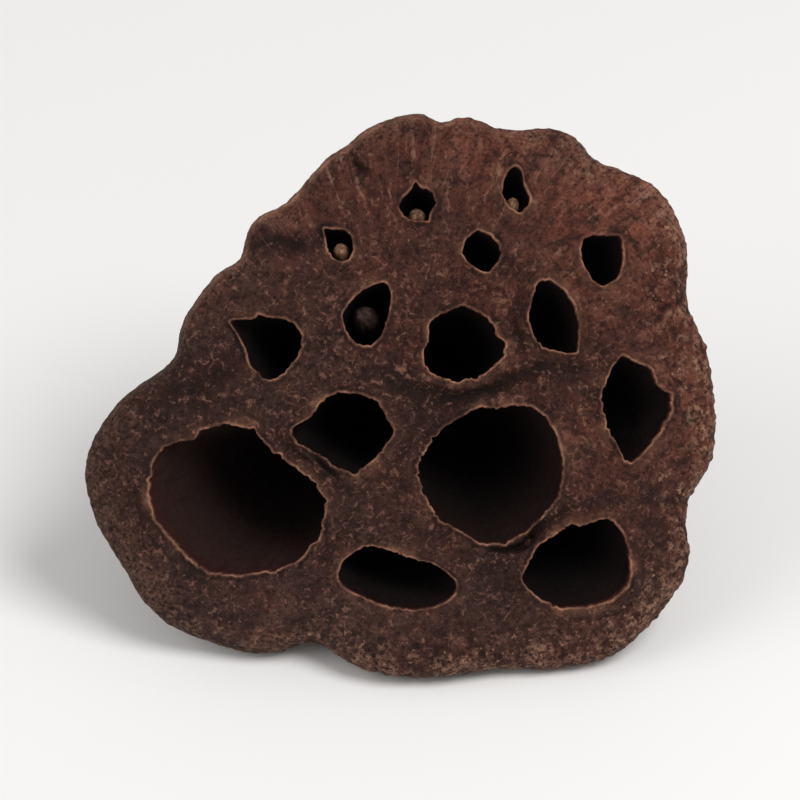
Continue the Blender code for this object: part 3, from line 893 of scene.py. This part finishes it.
def makeCellCup(cell, skin, seed):
    centreX, centreY, depth, _ = podCells[cell]
    meanRadius = mouthTables[cell].mean()
    small = meanRadius < 3.5
    sides = max(64, int(math.tau * meanRadius / cellCup["sideLength"]))
    outline = cupOutline()
    bpy.ops.mesh.primitive_uv_sphere_add(segments=sides, ring_count=len(outline) - 1, radius=1.0)
    cup = named("cellCup" + cell[0].upper() + cell[1:])
    radius, angle, height = polar(readPoints(cup))
    angle[radius < 1e-4] = 0.0
    ring = np.rint(np.arccos(np.clip(height, -1.0, 1.0)) / math.pi * (len(outline) - 1)).astype(int)

    circle = ringPoints(angle, meanRadius, 0.0) + (seed, 0.0, 0.0)
    fray = layeredNoise(circle, 1.8, 3, seed)
    teeth = 0.8 - 2.2 * np.abs(layeredNoise(circle, 0.8, 2, seed + 5))
    chips = smoothStep(0.3, 0.6, layeredNoise(circle, 1.1, 2, seed + 9))
    size = min(1.0, meanRadius / 4.0)
    mouth = tableRadius(mouthTables[cell], angle) + size * (cellCup["fray"] * fray + cellCup["tooth"] * teeth)
    mouth = mouth + size * cellCup["chip"] * chips
    rimX, rimY = centreX + mouth * np.cos(angle), centreY + mouth * np.sin(angle)
    _, nextCell = cellDistances(rimX, rimY)
    belly = np.clip(0.4 * nextCell - 0.45, -0.1, cellCup["belly"]) * (0.45 if small else 1.0)
    placed = np.zeros((len(ring), 3))
    lipMask, depthMask, shadeOutsideLip = np.zeros((3, len(ring)))
    for index, (part, share) in enumerate(outline):
        at = ring == index
        turn = angle[at]
        if part == "crest":
            # over the lip, from just inside the mouth to the foot of its collar
            offset = -cellCup["lipInside"] + (cellCup["foot"] + cellCup["lipInside"]) * share**1.8
            reach = mouth[at] + offset
            x, y = centreX + reach * np.cos(turn), centreY + reach * np.sin(turn)
            crest = bump((offset - 0.1) / cellCup["lipWidth"], 1.0)
            rise = cellCup["lipHeight"] * (1.0 + 0.9 * fray[at]) * (1.0 - 0.7 * chips[at])
            sink = 0.4 * smoothStep(1.15, 1.85, offset)
            placed[at] = columns(x, y, broadHeight(x, y) + rise * crest - sink)
            lipMask[at] = bump((offset - 0.05) / 0.17, 1.0) + haloOf(x, y, offset)
            shadeOutsideLip[at] = bump((offset - 0.52) / 0.2, 1.0)
            continue
        deep = depth + (cellCup["wall"] if part == "outer" else 0.0)
        straight = tableRadius(softTables[cell], turn)
        straight = np.where(nextCell[at] < 2.2, np.minimum(straight, mouth[at]), straight)
        lip = max(0.0, 1.0 - share * deep / 4.0)
        reach = straight + (mouth[at] - cellCup["lipInside"] - straight) * lip
        reach = reach + belly[at] * smoothStep(0.0, 1.6, share * deep) * (1.0 - share)
        if part == "outer":
            reach = reach + cellCup["wall"]
        bellied = 1.0 + (0.15 if small else 0.0) * math.sin(math.pi * min(1.0, 1.5 * share))
        bowl = bellied * math.sqrt(max(0.0, 1.0 - share**2.6))
        lean = 1.0 - share * deep / cellApex
        x = (centreX + reach * np.cos(turn) * bowl) * lean
        y = (centreY + reach * np.sin(turn) * bowl) * lean
        start = broadHeight(rimX[at], rimY[at]) - (0.0 if part == "inner" else 0.5)
        if part == "inner":
            streak = layeredNoise(ringPoints(turn, meanRadius, share * 1.3), 0.9, 3, seed + 3)
            streak = streak * cellCup["striation"] * bowl
            streak = streak * min(1.0, 0.8 * share * deep)
            x, y = x + streak * np.cos(turn), y + streak * np.sin(turn)
            lipMask[at] = 0.55 * max(0.0, 1.0 - share * deep / 0.22)
            depthMask[at] = min(1.0, share * deep / min(14.0, 1.3 * meanRadius))
        placed[at] = columns(x, y, start * (1.0 - share) - deep * share)
    for end, deep in ((0, depth), (len(outline) - 1, depth + cellCup["wall"])):
        lean = 1.0 - deep / cellApex
        placed[ring == end] = (centreX * lean, centreY * lean, -deep)
    writePoints(cup, placed)
    x, y, _ = placed.T
    # below the lip the walls take cellBrightness instead of the face's patches and bands, which is painted
    # shade
    tone, inside = toneOf(x, y), cellBrightness.get(cell, otherCells)
    # painted shade in a band just outside the lip and in the crevices between collars
    relief = 0.6 * layeredNoise(placed, 1.2, 3, 23) + 1.1 * creviceHeight(x, y) - 0.45 * shadeOutsideLip
    paintSkin(
        cup, placed,
        relief=np.clip(relief, -1.0, 1.0),
        tone=tone + (inside - tone) * smoothStep(0.02, 0.1, depthMask),
        rim=spongeOf(x, y), depth=depthMask,
        lip=np.clip(lipMask * (0.8 + 0.9 * fray), 0.0, 1.0),
    )
    return settle(cup, skin)


# The pleated funnel behind the face.
funnelShape = {
    "edge": ((34.8, -5.0), (36.1, -4.8), (36.8, -4.7), (37.15, -5.0), (37.2, -5.6), (36.9, -6.3)),
    "start": (36.3, -7.0),
    "end": (4.6, -35.0),
    "lining": ((4.0, -35.6), (0.0, -35.8), (0.0, -32.6), (2.4, -32.0), (10.6, -25.4), (22.6, -15.0),
               (31.8, -7.2)),
    "hollow": 1.6,
    "rings": 90,
    "steps": 840,
    "pleats": 22,
    "pleatHeight": 1.5,
    "foldHeight": 0.85,
    "wrinkleHeight": 0.3,
    "raggedEdge": 0.75,
    "edgeTuck": 0.85,  # how far the torn edge turns in under the rim
}


def foldsOfFunnel(angle, height):
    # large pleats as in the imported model, then folds and wrinkles that run along them
    shape = funnelShape
    wandering = angle + 0.11 * np.sin(3.0 * angle + 0.5) + 0.05 * np.sin(7.0 * angle + 2.0)
    pleat = np.abs(np.sin(0.5 * shape["pleats"] * wandering)) ** 0.8 - 0.6
    drift = (0.07 * softNoise(ringPoints(angle, 3.0, height * 0.1), 91)
             + 0.025 * softNoise(ringPoints(angle, 8.0, height * 0.25), 92))
    turn = angle + drift
    major = layeredNoise(ringPoints(turn, 6.5, height * 0.06 + 2.0), 1.0, 2, 95)
    minor = layeredNoise(ringPoints(turn, 15.0, height * 0.1), 1.0, 2, 97)
    fine = 1.0 - 2.2 * np.abs(layeredNoise(ringPoints(turn, 38.0, height * 0.2), 1.0, 3, 99))
    deep = smoothStep(-0.35, 0.35, softNoise(ringPoints(angle, 6.0, height * 0.16 + 7.0), 101))
    fold = 1.9 * np.abs(major) ** 0.6 - 0.9 - (0.3 + 0.9 * deep) * bump(major, 0.1)
    shallow = smoothStep(-0.4, 0.5, softNoise(ringPoints(angle, 9.0, height * 0.22 + 3.0), 103))
    wrinkle = 0.9 * np.abs(minor) ** 0.7 - 1.3 * shallow * bump(minor, 0.13) + 0.45 * fine
    return pleat, fold, wrinkle


def makeFunnel(skin):
    shape = funnelShape
    (startRadius, startHeight), (endRadius, endHeight) = shape["start"], shape["end"]
    outline = [*shape["edge"]]
    for index in range(shape["rings"] + 1):
        share = index / shape["rings"]
        hollow = shape["hollow"] * math.sin(math.pi * share**1.3)
        outline.append((startRadius + (endRadius - startRadius) * share - hollow,
                        startHeight + (endHeight - startHeight) * share))
    outline += [*shape["lining"], outline[0]]
    funnel = spinProfile("pleatedFunnel", outline, shape["steps"])
    radius, angle, height = polar(readPoints(funnel))
    share = np.clip((startHeight - height) / (startHeight - endHeight), 0.0, 1.0)
    hollow = shape["hollow"] * np.sin(math.pi * share**1.3)
    skinRadius = startRadius + (endRadius - startRadius) * share - hollow
    outside = smoothStep(-0.9, -0.2, radius - skinRadius)  # the outer skin, not the lining
    pleat, fold, wrinkle = foldsOfFunnel(angle, np.minimum(height, startHeight))
    upFunnel = smoothStep(endHeight - 0.5, endHeight + 12.0, height)
    nearStub = smoothStep(endHeight - 0.5, endHeight + 5.0, height)
    belowShoulder = 0.35 + 0.65 * smoothStep(-6.0, -12.0, height)
    pleatRise = shape["pleatHeight"] * pleat * upFunnel * belowShoulder
    underRim = 1.0 - 0.45 * smoothStep(-8.5, -5.5, height)
    foldRise = shape["foldHeight"] * fold * smoothStep(endHeight, endHeight + 8.0, height) * underRim
    wrinkleRise = shape["wrinkleHeight"] * wrinkle * nearStub
    rise = (pleatRise + foldRise + wrinkleRise) * outside + (1.0 - outside) * pleatRise
    tuck = shape["edgeTuck"] * smoothStep(-6.9, -5.0, height) * outside
    wide = lobed(radius, angle) + rise - tuck
    torn = layeredNoise(ringPoints(angle, 30.0, 0.0), 1.0, 3, 105)
    atEdge = smoothStep(-6.4, -5.2, height) * outside
    height = height + shape["raggedEdge"] * (torn - 1.2 * smoothStep(0.15, 0.5, -torn)) * atEdge
    writePoints(funnel, ringPoints(angle, wide, height - sagOf(radius, angle) - 0.6 * rise))
    # relief for the skin: high on crests and the torn edge, low in hollows, for painted highlight and shade
    paint(funnel, "relief", np.clip(
        0.3 * (pleat + 0.1) * upFunnel + 0.75 * fold + 0.5 * wrinkle + 0.5 * atEdge, -1.0, 1.0))
    # the skin's grain: u round the funnel and v down it, with no face across the seam
    mesh = funnel.data
    corners, starts = np.empty(len(mesh.loops), np.int32), np.empty(len(mesh.polygons), np.int32)
    mesh.loops.foreach_get("vertex_index", corners)
    mesh.polygons.foreach_get("loop_start", starts)
    turnShare = (angle[corners] / math.tau) % 1.0
    span = np.maximum.reduceat(turnShare, starts) - np.minimum.reduceat(turnShare, starts)
    wraps = np.repeat(span > 0.5, np.diff(starts, append=len(corners)))
    turnShare = np.where(wraps & (turnShare < 0.5), turnShare + 1.0, turnShare)
    layer = mesh.uv_layers.new(name="grain")
    layer.data.foreach_set("uv", columns(turnShare, share[corners]).ravel().astype(np.float32))
    return settle(funnel, skin)


# The broken stub of the stalk, with its ragged collar.
stalkStub = {
    "rings": ((4.4, -34.0), (5.0, -34.6), (5.5, -35.3), (5.4, -36.0), (4.7, -36.6), (4.4, -37.2),
              (4.6, -38.4), (4.7, -39.6), (4.3, -41.0), (4.3, -42.2), (4.5, -43.3), (4.2, -44.6),
              (3.7, -45.6), (2.9, -46.6), (2.2, -47.3), (1.5, -47.7), (0.8, -47.6), (0.0, -47.4)),
    "steps": 160,
    "between": 5,
    "bend": 1.6,
    "ringHeight": 0.2,
    "ringSpacing": 1.05,
    "rough": 0.3,
}


def makeStub(skin):
    shape = stalkStub
    outline = [(0.0, -33.6)]
    for (radius, height), (nextRadius, nextHeight) in zip(shape["rings"], shape["rings"][1:]):
        for step in range(shape["between"]):
            share = step / shape["between"]
            outline.append((radius + (nextRadius - radius) * share, height + (nextHeight - height) * share))
    outline.append(shape["rings"][-1])
    stub = spinProfile("stalkStub", outline, shape["steps"])
    radius, angle, height = polar(readPoints(stub))
    circle = ringPoints(angle, 4.0, height)
    wander = softNoise(circle / 3.0, 101)
    rings = np.sin(math.tau * (height + 0.5 * wander) / shape["ringSpacing"])
    rings = np.sign(rings) * np.abs(rings) ** 0.6
    rings = rings * (0.6 + 0.4 * softNoise(circle / 1.6, 103))
    splits = 1.0 - 2.2 * np.abs(layeredNoise(ringPoints(angle, 9.0, height * 0.25), 1.0, 3, 105))
    collar = bump(height + 35.5, 0.9)
    tip = smoothStep(-45.6, -47.0, height)
    shaft = smoothStep(0.0, 1.5, radius)
    rough = layeredNoise(circle, 1.3, 3, 107)
    rise = shaft * (shape["ringHeight"] * rings * (1.0 - collar) + shape["rough"] * 0.6 * rough
                    + collar * (0.35 * splits) + 0.1 * splits + tip * 0.5 * rough)
    wide = radius * (1.0 + 0.06 * np.sin(3.0 * angle + 0.8 * height)) + rise
    drop = np.maximum(0.0, -35.0 - height) / 12.6
    lengthen = -0.55 * collar * splits - tip * 0.6 * rough
    bent = wide * np.sin(angle) - shape["bend"] * drop**1.5
    writePoints(stub, columns(wide * np.cos(angle), bent, height + lengthen))
    # relief for the skin: raised rings paler and grooves darker, painted highlight and shade
    paint(stub, "relief", np.clip(0.6 * rings + 0.8 * rough + 0.5 * collar - 0.5 * tip, -1.0, 1.0))
    return settle(stub, skin)


# The withered seeds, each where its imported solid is.
seedShapes = {
    "seed_top_middle": {"dimple": 0.1, "wrinkle": 0.09},
    "seed_top_right": {"dimple": 0.08, "wrinkle": 0.09},
    "seed_top_left": {"dimple": 0.16, "wrinkle": 0.07},
    "seed_upper_left": {"dimple": 0.0, "wrinkle": 0.16},
}


def makeSeed(node, skin, seed):
    shape = seedShapes[node]
    corners = readPoints(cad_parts[node]) * 1000.0
    centre = (corners.min(axis=0) + corners.max(axis=0)) / 2.0
    _, _, axes = np.linalg.svd(corners - centre, full_matrices=False)
    along = axes[0] if axes[0][1] < 0.0 else -axes[0]
    reach = np.abs((corners - centre) @ along).max()
    radius = np.linalg.norm(np.cross(corners - centre, along), axis=1).max() / 1.12
    turn = np.array(Vector(along).to_track_quat("Z", "Y").to_matrix())
    bpy.ops.mesh.primitive_uv_sphere_add(segments=96, ring_count=64, radius=1.0)
    kernel = named(node.replace("seed_", "witheredSeed_"))
    points = readPoints(kernel)
    radial, angle, height = polar(points)
    ridge = layeredNoise(ringPoints(angle, 2.4, height * 0.8), 1.0, 3, seed)
    rough = layeredNoise(points * 4.0, 1.0, 2, seed + 5)
    dimple = shape["dimple"] * bump(radial, 0.36) * (height > 0)
    fuller = (1.0 - np.abs(height) ** 2.9) ** 0.42 / np.maximum(np.sqrt(1.0 - height**2), 1e-3)
    wide = np.clip(fuller, 1.0, 1.6) * radius * (1.0 - 0.14 * height)
    wide = wide * (1.0 + shape["wrinkle"] * ridge + 0.03 * rough)
    tall = (height * (1.0 + 0.04 * rough) - dimple) * reach
    local = columns(points[:, 0] * wide, points[:, 1] * wide, tall)
    writePoints(kernel, (local @ turn.T + centre) * 0.001)
    # relief for the skin: grooves and the dimple low, painted shade
    paint(kernel, "relief", np.clip(1.2 * ridge - 3.5 * dimple, -1.0, 1.0))
    return finishPiece(kernel, node, skin)


# Floor, light and camera.
studio = {
    "floor": (0.88, 0.875, 0.865, 1.0),
    "world": 0.48,
    "keyEnergy": 5.6,
    "fillEnergy": 2.0,
    "cameraLift": 37.0,
    "cameraGap": 0.8,
    "frameWidth": 0.101,
}


def aim(obj, target):
    obj.rotation_euler = (target - obj.location).to_track_quat("-Z", "Y").to_euler()


def makeStudio():
    bpy.ops.mesh.primitive_plane_add(size=4.0, location=(0.0, 0.0, 0.0))
    floor = named("studioFloor")
    floor.data.materials.append(finishSkin(nodeTools("paleFloor")[0], studio["floor"], 0.85))

    world = bpy.data.worlds.new("softRoom")
    world.use_nodes = True
    background = world.node_tree.nodes["Background"].inputs
    background["Color"].default_value = (1.0, 0.99, 0.98, 1.0)
    background["Strength"].default_value = studio["world"]
    scene.world = world
    target = Vector((0.0, 0.0, 0.028))
    lamps = (
        ("keyLight", (0.45, -0.3, 0.8), 0.5, studio["keyEnergy"]),
        ("fillLight", (-0.65, -0.35, 0.55), 0.7, studio["fillEnergy"]),
    )
    for name, place, size, energy in lamps:
        lampData = bpy.data.lights.new(name, "AREA")
        lampData.shape = "DISK"
        lampData.size = size
        lampData.energy = energy
        lamp = addObject(name, lampData)
        lamp.location = place
        aim(lamp, target)

    lift = math.radians(studio["cameraLift"])
    cameraData = bpy.data.cameras.new("podCamera")
    cameraData.sensor_width = 36.0
    cameraData.lens = 36.0 * studio["cameraGap"] / studio["frameWidth"]
    cameraData.clip_start = 0.01
    camera = addObject("podCamera", cameraData)
    middle = Vector(podPlace["faceCentre"]) * 0.001 + Vector((-0.0006, 0.0, 0.0006))
    camera.location = middle + Vector((0.0, -math.cos(lift), math.sin(lift))) * studio["cameraGap"]
    aim(camera, middle)
    scene.camera = camera
    scene.view_settings.view_transform = "Standard"
    scene.view_settings.look = "None"
    print("made the studio")


makeStudio()
podSkin = makePodSkin()
makeFacePlate(podSkin)
for index, cell in enumerate(podCells):
    makeCellCup(cell, podSkin, 200 + 13 * index)
makeFunnel(makeFunnelSkin())
makeStub(makeStubSkin())
brightSeed = makeSeedSkin("brightSeedSkin", seedColours)
dullSeed = makeSeedSkin("dullSeedSkin", dullSeedColours)
for index, node in enumerate(seedShapes):
    makeSeed(node, dullSeed if node == "seed_upper_left" else brightSeed, 401 + 7 * index)
